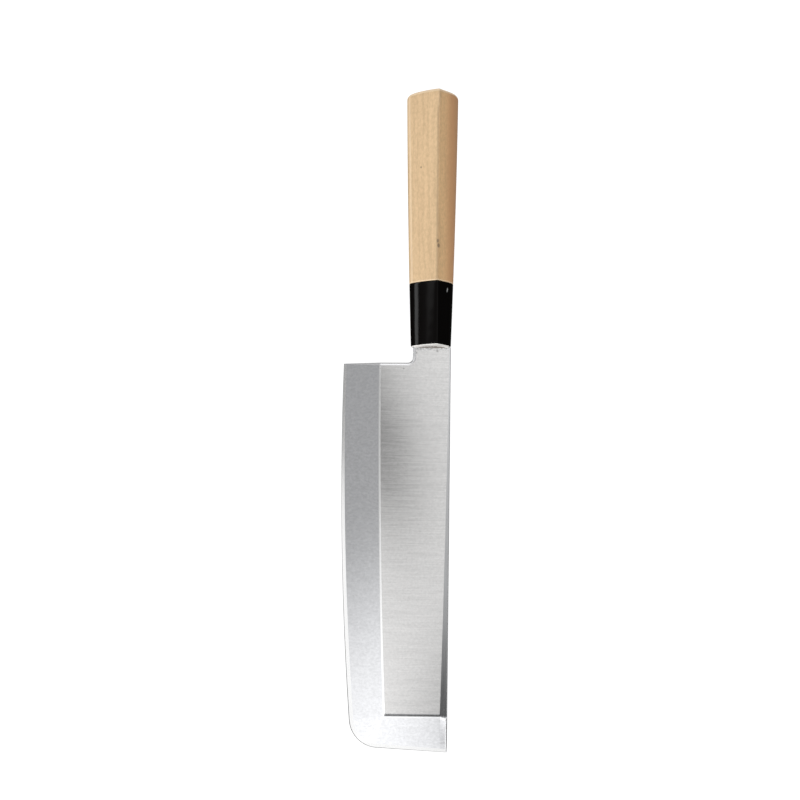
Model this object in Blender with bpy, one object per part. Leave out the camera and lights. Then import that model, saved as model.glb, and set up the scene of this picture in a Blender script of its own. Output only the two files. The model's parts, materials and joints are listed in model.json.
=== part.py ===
"""A right-handed single-bevel sashimi knife, lying on its flat back with its ground face up.

The knife is drawn in its own axes. +X runs from the cutting edge to the spine, +Y from the tip
to the butt, and +Z from the flat back to the ground face. X is 0 on the handle's axis, Y is 0
where the heel meets the neck, and Z is 0 on the flat back. An empty lays the finished knife on
the table. All lengths are in metres and all angles in degrees.
"""

import math

import bmesh
import bpy
from mathutils import Matrix, Vector

# Blade, in plan
BLADE_LENGTH = 0.2100
EDGE_DEPTH = 0.0484
EDGE_RADIUS = 1.84
WIDEST_AT = 0.0400
SPINE_OFFSET = 0.0110
SPINE_TAPER = 0.0008
HEEL_RAKE = 0.0003
END_SLOPE = 3.2
CORNER_RADIUS = 0.0155
NECK_OFFSET = 0.0098
NECK_LENGTH = 0.0088
CHOIL_RADIUS = 0.0030

# Blade, in section
HEEL_THICKNESS = 0.0038
TIP_THICKNESS = 0.0026
BEVEL_WIDTH = 0.0205
BEVEL_RADIUS = 3.96
TIP_BEVEL_LENGTH = 0.0187
MICRO_WIDTH_HEEL = 0.0015
MICRO_WIDTH_CORNER = 0.0024
MICRO_WIDTH_TIP = 0.0017
MICRO_ANGLE = 16.0
RELIEF_WIDTH_HEEL = 0.0009
RELIEF_WIDTH_TIP = 0.0040
RELIEF_ANGLE = 4.0

# Hollow ground into the flat back
HOLLOW_DEPTH = 0.00045
HOLLOW_RIM_EDGE = 0.0024
HOLLOW_RIM_SPINE = 0.0060
HOLLOW_RIM_HEEL = 0.0060
HOLLOW_RIM_TIP = 0.0040
HOLLOW_SQUARENESS = 6

# Tang
TANG_LENGTH = 0.0950
TANG_WIDTH_NECK = 0.0115
TANG_WIDTH_END = 0.0060
TANG_THICKNESS_NECK = 0.0034
TANG_THICKNESS_END = 0.0022
TANG_CORNER = 0.0006
TANG_ROOT = 0.0050

# Handle, over its ferrule and grip
FERRULE_LENGTH = 0.0352
GRIP_LENGTH = 0.1108
FRONT_WIDTH = 0.0222
BUTT_WIDTH = 0.0291
HANDLE_SWELL = 0.0008
RIDGE_OFFSET = 0.0035
RIDGE_HEIGHT_FRONT = 0.0090
RIDGE_HEIGHT_BUTT = 0.0133
BACK_DEPTH_FRONT = 0.0089
BACK_DEPTH_BUTT = 0.0113
BUTT_ROUNDING = 0.0036
MOUTH_ROUNDING = 0.0004
FERRULE_WALL = 0.0022
FERRULE_END_WALL = 0.0035

# Pull points of the two front flanks, from the side up, as shares of the half width and of the
# ridge's height, and the share of each flank that the eased ridge takes
SPINE_FLANK = ((1.00, 0.40), (0.35, 0.84))
EDGE_FLANK = ((-1.00, 0.20), (-0.45, 0.70))
EASED_SHARE = 0.05

# Resin that beds the tang, and the bead that caps the ferrule's mouth
RESIN_WALL = 0.0008
RESIN_PLUG = 0.0030
BEAD_FILM = 0.0005
BEAD_LEG = 0.0009
BEAD_SIDE_MARGIN = 0.0004

# Clearance between neighbouring pieces
FIT = 0.0003

# Fineness of the curves, in steps
EDGE_STEPS = 30
CORNER_STEPS = 12
END_STEPS = 8
CHOIL_STEPS = 8
HOLLOW_STEPS_ACROSS = 18
HOLLOW_STEPS_ALONG = 30
FLANK_STEPS = 14
RIDGE_STEPS = 3
BACK_STEPS = 26
GRIP_STEPS = 12
FERRULE_STEPS = 5
ROUNDING_STEPS = 5
TANG_CORNER_STEPS = 3
BEAD_STEPS = 6

# Lengthwise stations that several pieces share
TIP_LINE = -BLADE_LENGTH + TIP_BEVEL_LENGTH
SHOULDER = NECK_LENGTH
MOUTH = SHOULDER + FIT + BEAD_FILM + FIT
JOINT = MOUTH + FERRULE_LENGTH
BUTT = JOINT + GRIP_LENGTH
TENON_END = MOUTH + FERRULE_END_WALL + FIT
TANG_END = SHOULDER + TANG_LENGTH
HANDLE_MID = HEEL_THICKNESS / 2


def between(start, end, share):
    """The value that lies at share, from 0 to 1, on the way from start to end."""
    return start + (end - start) * share


def spine_x(y):
    """The straight spine, which comes nearer the handle's axis towards the tip."""
    return SPINE_OFFSET + SPINE_TAPER * min(y, 0.0) / BLADE_LENGTH


def edge_x(y):
    """The cutting edge, one long arc whose widest point lies a little ahead of the heel."""
    return -EDGE_DEPTH + EDGE_RADIUS - math.sqrt(EDGE_RADIUS**2 - (y + WIDEST_AT) ** 2)


def bevel_x(y):
    """The ridge between the flat and the wide bevel, a flatter arc that is widest at the heel."""
    depth = EDGE_DEPTH - BEVEL_WIDTH
    return -depth + BEVEL_RADIUS - math.sqrt(BEVEL_RADIUS**2 - y**2)


def flat_z(y):
    """Height of the ground face's flat, which thins evenly from the neck to the tip."""
    return between(HEEL_THICKNESS, TIP_THICKNESS, y / TIP_LINE)


def relief_width(y):
    """Width of the shallow relief along the spine, which opens towards the tip."""
    return between(RELIEF_WIDTH_HEEL, RELIEF_WIDTH_TIP, max(y / TIP_LINE, 0.0))


def relief_drop(y):
    """How far the relief falls below the flat where it reaches the spine."""
    return relief_width(y) * math.tan(math.radians(RELIEF_ANGLE))


def heel_y(x):
    """The heel's straight back, raked towards the tip from the choil to the edge."""
    start = -NECK_OFFSET - CHOIL_RADIUS
    return -HEEL_RAKE * (start - x) / (start + EDGE_DEPTH)


def corner_arc():
    """Points of the rounded corner, tangent to the edge's arc and to the straight end."""
    slope = math.radians(END_SLOPE)
    along = Vector((-math.cos(slope), math.sin(slope)))
    inward = Vector((math.sin(slope), math.cos(slope)))
    hub = Vector((EDGE_RADIUS - EDGE_DEPTH, -WIDEST_AT))
    start = Vector((spine_x(-BLADE_LENGTH), -BLADE_LENGTH)) + inward * CORNER_RADIUS
    offset = start - hub
    reach = EDGE_RADIUS - CORNER_RADIUS
    lead = offset.dot(along)
    travel = -lead + math.sqrt(lead**2 - offset.length_squared + reach**2)
    centre = start + along * travel
    first = math.atan2(*(centre - hub).yx) % math.tau
    last = math.atan2(*(-inward).yx) % math.tau
    angles = [between(first, last, i / CORNER_STEPS) for i in range(CORNER_STEPS + 1)]
    return [centre + CORNER_RADIUS * Vector((math.cos(a), math.sin(a))) for a in angles]


def end_y(x):
    """The straight end, which runs from the rounded corner out to the spine."""
    return -BLADE_LENGTH + (spine_x(-BLADE_LENGTH) - x) * math.tan(math.radians(END_SLOPE))


def ground_stations():
    """Matching points of the edge and of the bevel's inner ridge, from heel to spine.

    They run along the cutting edge, round the corner, where the ridge stays at one point, and
    across the end, where the ridge is the tip bevel's line and then drops over the relief.
    """
    arc = corner_arc()
    heel = (edge_x(0.0), heel_y(edge_x(0.0)))
    ridge_heel = (bevel_x(0.0), heel_y(bevel_x(0.0)))
    corner = (bevel_x(TIP_LINE), TIP_LINE)
    line_end = spine_x(TIP_LINE) - relief_width(TIP_LINE)
    stations = []
    for i in range(EDGE_STEPS):
        share = i / EDGE_STEPS
        y = between(heel[1], arc[0].y, share)
        ridge_y = between(ridge_heel[1], TIP_LINE, share)
        stations.append(((edge_x(y), y), (bevel_x(ridge_y), ridge_y)))
    stations += [(tuple(point), corner) for point in arc]
    for i in range(1, END_STEPS + 1):
        share = i / END_STEPS
        x = between(arc[-1].x, line_end, share)
        stations.append(((x, end_y(x)), (between(corner[0], line_end, share), TIP_LINE)))
    return stations


def micro_width(station):
    """Width of the micro bevel, which grows up to the corner and shrinks from there to the spine."""
    past_corner = max(station - EDGE_STEPS, 0) / (CORNER_STEPS + 1 + END_STEPS)
    grown = between(MICRO_WIDTH_HEEL, MICRO_WIDTH_CORNER, min(station / EDGE_STEPS, 1.0))
    return between(grown, MICRO_WIDTH_TIP, past_corner)


def micro_point(edge, ridge, station):
    """Top of the micro bevel, one micro width in from the edge towards the ridge."""
    width = micro_width(station)
    start = Vector(edge)
    point = start + (Vector(ridge) - start).normalized() * width
    return (point.x, point.y, width * math.tan(math.radians(MICRO_ANGLE)))


def spine_end(micro):
    """Where the tip bevel runs out over the relief, on the spine."""
    drop = relief_drop(TIP_LINE)
    share = drop / (TIP_THICKNESS - micro[2])
    y = between(TIP_LINE, micro[1], share)
    return (spine_x(y), y, TIP_THICKNESS - drop)


def new_object(name, shape, material=None):
    """Makes an object from a bmesh, with flat faces pointing outwards."""
    bmesh.ops.recalc_face_normals(shape, faces=shape.faces)
    mesh = bpy.data.meshes.new(name)
    shape.to_mesh(mesh)
    shape.free()
    item = bpy.data.objects.new(name, mesh)
    bpy.context.collection.objects.link(item)
    if material:
        mesh.materials.append(material)
    return item


def loft(name, rings, material=None):
    """A solid skinned over rings of points, with a flat cap on its first and last ring."""
    shape = bmesh.new()
    rows = [[shape.verts.new(point) for point in ring] for ring in rings]
    for near, far in zip(rows, rows[1:]):
        for i, point in enumerate(near):
            shape.faces.new((near[i - 1], point, far[i], far[i - 1]))
    shape.faces.new(rows[0])
    shape.faces.new(rows[-1])
    return new_object(name, shape, material)


def combine(item, tool, operation):
    """Cuts item with tool, or joins tool to it, and hides the tool."""
    step = item.modifiers.new(tool.name, "BOOLEAN")
    step.operation = operation
    step.object = tool
    step.solver = "EXACT"
    tool.hide_render = True
    tool.display_type = "WIRE"


def round_off(item, angle=28.0):
    """Shades the curved sides smooth and keeps the corners crisp."""
    item.data.shade_smooth()
    item.data.set_sharp_from_angle(angle=math.radians(angle))


def rounded_rectangle(half_width, half_height, radius, steps):
    """Corner points of a rounded rectangle about 0, anticlockwise from its right side."""
    points = []
    for quarter, (sx, sz) in enumerate(((1, 1), (-1, 1), (-1, -1), (1, -1))):
        for i in range(steps + 1):
            angle = math.radians(90.0 * (quarter + i / steps))
            x = sx * (half_width - radius) + radius * math.cos(angle)
            z = sz * (half_height - radius) + radius * math.sin(angle)
            points.append((x, z))
    return points


def tang_section(y, grow=0.0):
    """The tang's section at y, grown outwards by grow, in the handle's middle plane."""
    share = (y - SHOULDER) / TANG_LENGTH
    width = between(TANG_WIDTH_NECK, TANG_WIDTH_END, share)
    thickness = between(TANG_THICKNESS_NECK, TANG_THICKNESS_END, share)
    outline = rounded_rectangle(
        width / 2 + grow, thickness / 2 + grow, TANG_CORNER + grow, TANG_CORNER_STEPS
    )
    return [(x, y, HANDLE_MID + z) for x, z in outline]


def bezier(points, shares):
    """Points at the given shares, from 0 to 1, of a cubic curve between its two ends."""
    a, b, c, d = (Vector(point) for point in points)
    curve = []
    for t in shares:
        s = 1 - t
        curve.append(a * s**3 + b * (3 * s * s * t) + c * (3 * s * t * t) + d * t**3)
    return curve


def eased_ridge(start, crest, end):
    """Points of a small bend pulled to the crest, between the ends of the two flanks."""
    bend = []
    for i in range(1, RIDGE_STEPS):
        t = i / RIDGE_STEPS
        bend.append(start * (1 - t) ** 2 + crest * (2 * t * (1 - t)) + end * t**2)
    return bend


def handle_section(y, inset=0.0):
    """The handle's chestnut-shaped section at y, taken in from its outside by inset.

    The back is a plain half ellipse. The front rises from both sides in two nearly straight
    flanks, which meet in one barely eased ridge on the spine's side of the middle.
    """
    share = (y - MOUTH) / (BUTT - MOUTH)
    swell = HANDLE_SWELL * 4 * share * (1 - share)
    half = (between(FRONT_WIDTH, BUTT_WIDTH, share) + swell) / 2 - inset
    ridge = between(RIDGE_HEIGHT_FRONT, RIDGE_HEIGHT_BUTT, share) - inset
    back = between(BACK_DEPTH_FRONT, BACK_DEPTH_BUTT, share) - inset
    crest = Vector((RIDGE_OFFSET, ridge))
    shares = [(1 - EASED_SHARE) * i / FLANK_STEPS for i in range(FLANK_STEPS + 1)]
    spine_pulls = [(half * across, ridge * up) for across, up in SPINE_FLANK]
    edge_pulls = [(half * across, ridge * up) for across, up in EDGE_FLANK]
    outline = bezier([(half, 0), *spine_pulls, crest], shares)
    edge_flank = bezier([(-half, 0), *edge_pulls, crest], shares)[::-1]
    outline += eased_ridge(outline[-1], crest, edge_flank[0]) + edge_flank[:-1]
    for i in range(BACK_STEPS):
        angle = math.pi * (1 + i / BACK_STEPS)
        outline.append(Vector((half * math.cos(angle), back * math.sin(angle))))
    return [(point.x, y, HANDLE_MID + point.y) for point in outline]


def rounded_end(y, radius, outwards):
    """Handle sections that turn in at an end at y. outwards is 1 at the butt, -1 at the mouth."""
    rings = []
    for i in range(1, ROUNDING_STEPS + 1):
        angle = math.pi / 2 * i / ROUNDING_STEPS
        station = y - outwards * radius * (1 - math.sin(angle))
        rings.append(handle_section(station, radius * (1 - math.cos(angle))))
    return rings


def blade_body(material):
    """The blade and neck as one polyhedron, with its bevels ground but its back still flat."""
    shape = bmesh.new()

    def vert(x, y, z):
        return shape.verts.new((x, y, z))

    stations = ground_stations()
    last = len(stations)
    edge, micro, ridge = [], [], []
    for i, (outer, inner) in enumerate(stations):
        edge.append(vert(*outer, 0.0))
        micro.append(vert(*micro_point(outer, inner, i)))
        same = i > 0 and inner == stations[i - 1][1]
        ridge.append(ridge[-1] if same else vert(*inner, flat_z(inner[1])))
    line_end = ridge[-1]

    tip = (spine_x(-BLADE_LENGTH), -BLADE_LENGTH)
    tip_micro = micro_point(tip, (spine_x(TIP_LINE), TIP_LINE), last)
    edge.append(vert(*tip, 0.0))
    micro.append(vert(*tip_micro))
    ridge.append(vert(*spine_end(tip_micro)))

    for i in range(last):
        shape.faces.new((edge[i], edge[i + 1], micro[i + 1], micro[i]))
        strip = [micro[i], micro[i + 1], ridge[i + 1]]
        if ridge[i] is not ridge[i + 1]:
            strip.append(ridge[i])
        shape.faces.new(strip)

    spine = spine_x(SHOULDER)
    neck = [(-NECK_OFFSET, SHOULDER)]
    for i in range(CHOIL_STEPS + 1):
        angle = math.pi / 2 * i / CHOIL_STEPS
        x = -NECK_OFFSET - CHOIL_RADIUS * (1 - math.cos(angle))
        neck.append((x, CHOIL_RADIUS * (1 - math.sin(angle))))
    neck_top = [vert(x, y, flat_z(y)) for x, y in neck]
    neck_back = [vert(x, y, 0.0) for x, y in neck]
    relief_top = vert(spine - relief_width(SHOULDER), SHOULDER, flat_z(SHOULDER))
    spine_top = vert(spine, SHOULDER, flat_z(SHOULDER) - relief_drop(SHOULDER))
    spine_back = vert(spine, SHOULDER, 0.0)

    flat = list(dict.fromkeys(ridge[:-1]))
    shape.faces.new(flat + [relief_top] + neck_top)
    shape.faces.new((line_end, ridge[-1], spine_top, relief_top))
    shape.faces.new((edge[-1], spine_back, spine_top, ridge[-1], micro[-1]))
    shape.faces.new((neck_top[0], relief_top, spine_top, spine_back, neck_back[0]))
    for i in range(CHOIL_STEPS + 1):
        shape.faces.new((neck_top[i], neck_top[i + 1], neck_back[i + 1], neck_back[i]))
    shape.faces.new((neck_top[-1], ridge[0], micro[0], edge[0], neck_back[-1]))
    shape.faces.new(edge + [spine_back] + neck_back)
    return new_object("blade", shape, material)


def hollow_cutter():
    """The shallow hollow of the back, as a solid that bulges up through the back's plane.

    Across the blade its roof is a parabola between the rims. Along the blade it stays level and
    falls away only near the heel and the tip, so its outline is a long rounded rectangle.
    """
    floor = -4 * HOLLOW_DEPTH
    overrun_across, overrun_along = 1.12, 1.04
    near, far = -HOLLOW_RIM_HEEL, -BLADE_LENGTH + HOLLOW_RIM_TIP
    shape = bmesh.new()
    grid = []
    for i in range(HOLLOW_STEPS_ALONG + 1):
        b = overrun_along * math.sin(math.pi * (i / HOLLOW_STEPS_ALONG - 0.5))
        y = (near + far) / 2 + b * (far - near) / 2
        low, high = edge_x(y) + HOLLOW_RIM_EDGE, spine_x(y) - HOLLOW_RIM_SPINE
        row = []
        for j in range(HOLLOW_STEPS_ACROSS + 1):
            a = overrun_across * math.sin(math.pi * (j / HOLLOW_STEPS_ACROSS - 0.5))
            x = (low + high) / 2 + a * (high - low) / 2
            z = HOLLOW_DEPTH * (1 - a * a - abs(b) ** HOLLOW_SQUARENESS)
            row.append(shape.verts.new((x, y, z)))
        grid.append(row)
    for row, following in zip(grid, grid[1:]):
        for j in range(HOLLOW_STEPS_ACROSS):
            shape.faces.new((row[j], row[j + 1], following[j + 1], following[j]))
    walls = bmesh.ops.extrude_edge_only(shape, edges=[e for e in shape.edges if e.is_boundary])
    lowered = [part for part in walls["geom"] if isinstance(part, bmesh.types.BMVert)]
    for point in lowered:
        point.co.z = floor
    rim = [e for e in shape.edges if e.is_boundary]
    bmesh.ops.contextual_create(shape, geom=rim)
    return new_object("hollow_cutter", shape)


def make_blade(material):
    """The blade: body and tang forged as one, and the back ground hollow."""
    blade = blade_body(material)
    tang = loft("tang_stock", [tang_section(SHOULDER - TANG_ROOT), tang_section(TANG_END)])
    combine(blade, tang, "UNION")
    combine(blade, hollow_cutter(), "DIFFERENCE")
    return blade


def tang_channel():
    """The passage for tang and resin, which the ferrule and the grip share."""
    grow = FIT + RESIN_WALL + FIT
    ends = (SHOULDER, TANG_END + RESIN_PLUG)
    return loft("tang_channel", [tang_section(y, grow) for y in ends])


def make_ferrule(channel, material):
    """The ferrule: a cup that takes the grip's tenon, with the tang's slot in its closed end."""
    rings = rounded_end(MOUTH, MOUTH_ROUNDING, -1)[::-1]
    start, end = MOUTH + MOUTH_ROUNDING, JOINT - FIT
    for i in range(FERRULE_STEPS + 1):
        rings.append(handle_section(between(start, end, i / FERRULE_STEPS)))
    ferrule = loft("ferrule", rings, material)
    round_off(ferrule)
    past_joint = JOINT + FERRULE_WALL
    depth = [MOUTH + FERRULE_END_WALL, past_joint]
    socket = loft("ferrule_socket", [handle_section(y, FERRULE_WALL) for y in depth])
    combine(ferrule, socket, "DIFFERENCE")
    combine(ferrule, channel, "DIFFERENCE")
    return ferrule


def make_grip(channel, material):
    """The wooden grip: a tenon for the ferrule, the swelling chestnut body and an eased butt."""
    rings = [handle_section(y, FERRULE_WALL + FIT) for y in (TENON_END, JOINT)]
    end = BUTT - BUTT_ROUNDING
    for i in range(GRIP_STEPS + 1):
        rings.append(handle_section(between(JOINT, end, i / GRIP_STEPS)))
    rings += rounded_end(BUTT, BUTT_ROUNDING, 1)
    grip = loft("grip", rings, material)
    round_off(grip)
    combine(grip, channel, "DIFFERENCE")
    return grip


def make_tang_resin(material):
    """The resin that fills the passage round the tang and plugs it past the tang's end."""
    grow = FIT + RESIN_WALL
    ends = (MOUTH, TANG_END + RESIN_PLUG - FIT)
    resin = loft("tang_resin", [tang_section(y, grow) for y in ends], material)
    core = loft("tang_core", [tang_section(y, FIT) for y in (SHOULDER, TANG_END + FIT)])
    combine(resin, core, "DIFFERENCE")
    return resin


def make_mouth_bead(material):
    """The resin at the ferrule's mouth: a cap over its end, and a fillet on each face of the neck."""
    back, front = MOUTH - FIT, MOUTH - FIT - BEAD_FILM
    top, bottom = flat_z(SHOULDER) + FIT, -FIT
    profile = [(front, bottom), (front, top)]
    for i in range(BEAD_STEPS + 1):
        angle = math.pi / 2 * i / BEAD_STEPS
        y = back - BEAD_LEG * (1 - math.sin(angle))
        profile.append((y, top + BEAD_LEG * (1 - math.cos(angle))))
    for i in range(BEAD_STEPS, -1, -1):
        angle = math.pi / 2 * i / BEAD_STEPS
        y = back - BEAD_LEG * (1 - math.sin(angle))
        profile.append((y, bottom - BEAD_LEG * (1 - math.cos(angle))))
    sides = (-NECK_OFFSET + BEAD_SIDE_MARGIN, SPINE_OFFSET - BEAD_SIDE_MARGIN)
    bead = loft("mouth_bead", [[(x, y, z) for y, z in profile] for x in sides], material)
    cap = loft("mouth_cap", [handle_section(y, MOUTH_ROUNDING) for y in (front, back)])
    combine(bead, cap, "UNION")
    hole = loft("bead_hole", [tang_section(y, FIT) for y in (SHOULDER - FIT, JOINT)])
    combine(bead, hole, "DIFFERENCE")
    return bead


def finish(name, colour, roughness, metallic=0.0):
    """A plain surface finish."""
    material = bpy.data.materials.new(name)
    material.use_nodes = True
    shader = material.node_tree.nodes["Principled BSDF"]
    shader.inputs["Base Color"].default_value = (*colour, 1.0)
    shader.inputs["Roughness"].default_value = roughness
    shader.inputs["Metallic"].default_value = metallic
    material.diffuse_color = (*colour, 1.0)
    return material


def lay_on_table(pieces):
    """Parents the pieces to an empty that rests the knife on its tip's end and its handle.

    The empty leans the knife until the line from the end of the blade touches the back of the
    handle, and puts the middle of the knife's footprint at the origin, on the table.
    """
    lowest = [v.co for piece in pieces for v in piece.data.vertices if v.co.z < 0]
    lean = max(math.atan2(-point.z, point.y + BLADE_LENGTH) for point in lowest)
    turn = Matrix.Rotation(lean, 3, "X")
    points = [turn @ v.co for piece in pieces for v in piece.data.vertices]
    low = Vector(min(p[k] for p in points) for k in range(3))
    high = Vector(max(p[k] for p in points) for k in range(3))
    table = bpy.data.objects.new("knife", None)
    bpy.context.collection.objects.link(table)
    table.rotation_euler.x = lean
    table.location = (-(low.x + high.x) / 2, -(low.y + high.y) / 2, -low.z)
    for item in bpy.context.collection.objects:
        if item.type == "MESH":
            item.parent = table


def main():
    for item in list(bpy.data.objects):
        bpy.data.objects.remove(item)
    steel = finish("brushed_steel", (0.63, 0.64, 0.65), 0.32, 1.0)
    wood = finish("pale_wood", (0.72, 0.53, 0.33), 0.55)
    black = finish("black_ferrule", (0.012, 0.011, 0.012), 0.22)
    resin = finish("tang_resin", (0.42, 0.36, 0.30), 0.45)
    channel = tang_channel()
    pieces = [
        make_blade(steel),
        make_ferrule(channel, black),
        make_grip(channel, wood),
        make_tang_resin(resin),
        make_mouth_bead(resin),
    ]
    lay_on_table(pieces)


main()
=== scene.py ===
"""Looks of a right-handed single-bevel sashimi knife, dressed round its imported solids.

Shapes are worked out in the knife's own axes: +X from the cutting edge to the spine, +Y from the
tip to the butt and +Z from the flat back to the ground face. X is 0 on the handle's axis, Y is 0
where the heel meets the neck, and Z is 0 on the flat back. Lengths are in metres.
"""

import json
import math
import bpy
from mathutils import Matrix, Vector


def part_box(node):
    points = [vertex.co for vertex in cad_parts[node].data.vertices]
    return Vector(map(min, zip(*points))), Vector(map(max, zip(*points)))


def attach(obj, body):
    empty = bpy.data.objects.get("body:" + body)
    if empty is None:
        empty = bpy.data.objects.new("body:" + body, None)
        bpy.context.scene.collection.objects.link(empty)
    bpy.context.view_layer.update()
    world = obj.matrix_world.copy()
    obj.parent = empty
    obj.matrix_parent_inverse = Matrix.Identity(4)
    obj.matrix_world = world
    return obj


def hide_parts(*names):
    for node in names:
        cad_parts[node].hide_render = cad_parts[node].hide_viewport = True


bl_info = {
    "name": "Sashimi Knife",
    "version": (1, 0, 0),
    "blender": (4, 5, 0),
    "location": "3D View > Sidebar > Knife",
    "description": "Builds and finishes a single-bevel sashimi knife with a pale wooden handle",
    "category": "Add Mesh",
}

import bmesh
import bpy
import numpy as np
from mathutils import Matrix, Vector

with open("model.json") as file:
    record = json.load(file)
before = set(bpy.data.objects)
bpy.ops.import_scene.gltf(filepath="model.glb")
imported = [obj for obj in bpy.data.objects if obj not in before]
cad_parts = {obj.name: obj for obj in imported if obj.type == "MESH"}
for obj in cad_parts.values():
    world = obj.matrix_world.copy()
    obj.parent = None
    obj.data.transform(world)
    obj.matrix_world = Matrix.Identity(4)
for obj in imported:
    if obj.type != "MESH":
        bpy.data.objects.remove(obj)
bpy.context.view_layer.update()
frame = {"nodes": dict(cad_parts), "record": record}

MOUNTS = {mount["name"]: mount for mount in frame["record"]["mounts"]}
BACK_NORMAL = MOUNTS["back_face"]["axis"]
LEAN = math.atan2(BACK_NORMAL[1], -BACK_NORMAL[2])
BLADE_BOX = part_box("blade")
GRIP_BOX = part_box("grip")


# Sizes and colours that a user would change

def length(name, description, default):
    """A length in metres for a settings panel."""
    return bpy.props.FloatProperty(
        name=name, description=description, default=default, unit="LENGTH", precision=5
    )


def degrees(name, description, default):
    """An angle for a settings panel, given here in degrees."""
    return bpy.props.FloatProperty(
        name=name, description=description, default=math.radians(default), subtype="ANGLE"
    )


def colour(name, description, default):
    """A linear colour for a settings panel."""
    return bpy.props.FloatVectorProperty(
        name=name, description=description, default=default, size=3, subtype="COLOR"
    )


def number(name, description, default):
    """A plain number for a settings panel."""
    return bpy.props.FloatProperty(name=name, description=description, default=default)


class BladeSettings(bpy.types.PropertyGroup):
    """Sizes of the blade, the same as those of its solid."""

    length: length("Length", "From the heel to the tip", 0.2100)
    edge_depth: length("Edge Depth", "From the handle's axis to the edge at its widest", 0.0484)
    edge_radius: length("Edge Radius", "Radius of the cutting edge's long arc", 1.84)
    widest_at: length("Widest At", "How far ahead of the heel the blade is widest", 0.0400)
    spine_offset: length("Spine Offset", "From the handle's axis to the spine", 0.0110)
    spine_taper: length("Spine Taper", "How much nearer the axis the spine is at the tip", 0.0008)
    heel_rake: length("Heel Rake", "How far the heel leans towards the tip at the edge", 0.0003)
    end_slope: degrees("End Slope", "Slope of the straight end", 3.2)
    corner_radius: length("Corner Radius", "Radius between the edge and the end", 0.0155)
    neck_offset: length("Neck Offset", "From the axis to the neck's edge side", 0.0098)
    neck_length: length("Neck Length", "From the heel to the shoulder", 0.0088)
    choil_radius: length("Choil Radius", "Radius between the heel and the neck", 0.0030)
    heel_thickness: length("Heel Thickness", "Thickness at the neck", 0.0038)
    tip_thickness: length("Tip Thickness", "Thickness at the tip bevel's line", 0.0026)
    bevel_width: length("Bevel Width", "Width of the wide bevel", 0.0205)
    bevel_radius: length("Bevel Radius", "Radius of the ridge's long arc", 3.96)
    tip_bevel: length("Tip Bevel", "Length of the bevel at the end", 0.0187)
    micro_heel: length("Micro Bevel at Heel", "Width of the polished edge at the heel", 0.0015)
    micro_corner: length("Micro Bevel at Corner", "Width of the polished edge at the corner", 0.0024)
    micro_tip: length("Micro Bevel at Tip", "Width of the polished edge at the spine", 0.0017)
    micro_angle: degrees("Micro Angle", "Slope of the polished edge", 16.0)
    relief_heel: length("Relief at Heel", "Width of the relief by the spine at the neck", 0.0009)
    relief_tip: length("Relief at Tip", "Width of the relief by the spine at the tip", 0.0040)
    relief_bow: length("Relief Bow", "How much narrower the relief is halfway along", 0.0004)
    relief_angle: degrees("Relief Angle", "Slope of the relief by the spine", 4.0)
    hollow_depth: length("Hollow Depth", "Depth of the hollow in the back", 0.00045)
    rim_edge: length("Edge Rim", "Flat rim of the back along the edge", 0.0024)
    rim_spine: length("Spine Rim", "Flat rim of the back along the spine", 0.0060)
    rim_heel: length("Heel Rim", "Flat rim of the back at the heel", 0.0060)
    rim_tip: length("Tip Rim", "Flat rim of the back at the tip", 0.0040)
    ridge_half: length("Ridge Half Width", "Half the width of the polished ridge", 0.00050)
    line_half: length("Line Half Width", "Half the width of the bend at the tip bevel", 0.00130)
    thread: length("Thread Edge", "Width of the steep facet at the very edge, at the corner", 0.00033)
    thread_angle: degrees("Thread Angle", "Slope of the steep facet at the very edge", 50.0)
    easing: length("Easing", "Radius that takes the sharpness off the spine", 0.00040)
    heel_easing: length("Heel Easing", "Reach of the rounding of heel, choil and neck", 0.00160)
    tip_easing: length("Tip Easing", "Reach of the rounding beside the tip bevel", 0.00105)
    tang_length: length("Tang Length", "From the shoulder to the tang's end", 0.0950)
    tang_width_neck: length("Tang Width", "Width of the tang at the shoulder", 0.0115)
    tang_width_end: length("Tang End Width", "Width of the tang at its end", 0.0060)
    tang_thick_neck: length("Tang Thickness", "Thickness of the tang at the shoulder", 0.0034)
    tang_thick_end: length("Tang End Thickness", "Thickness of the tang at its end", 0.0022)

    flat_colour: colour("Flat", "Steel of the ground face's flat", (0.66, 0.655, 0.65))
    bevel_colour: colour("Bevel", "Steel of the wide bevel and the tip bevel", (0.63, 0.635, 0.65))
    polish_colour: colour("Polish", "Steel of the micro bevel and the ridge", (0.92, 0.92, 0.92))
    relief_colour: colour("Relief", "Steel of the relief by the spine", (0.60, 0.605, 0.615))
    back_colour: colour("Back", "Steel of the back and the sides", (0.60, 0.60, 0.61))


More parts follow.
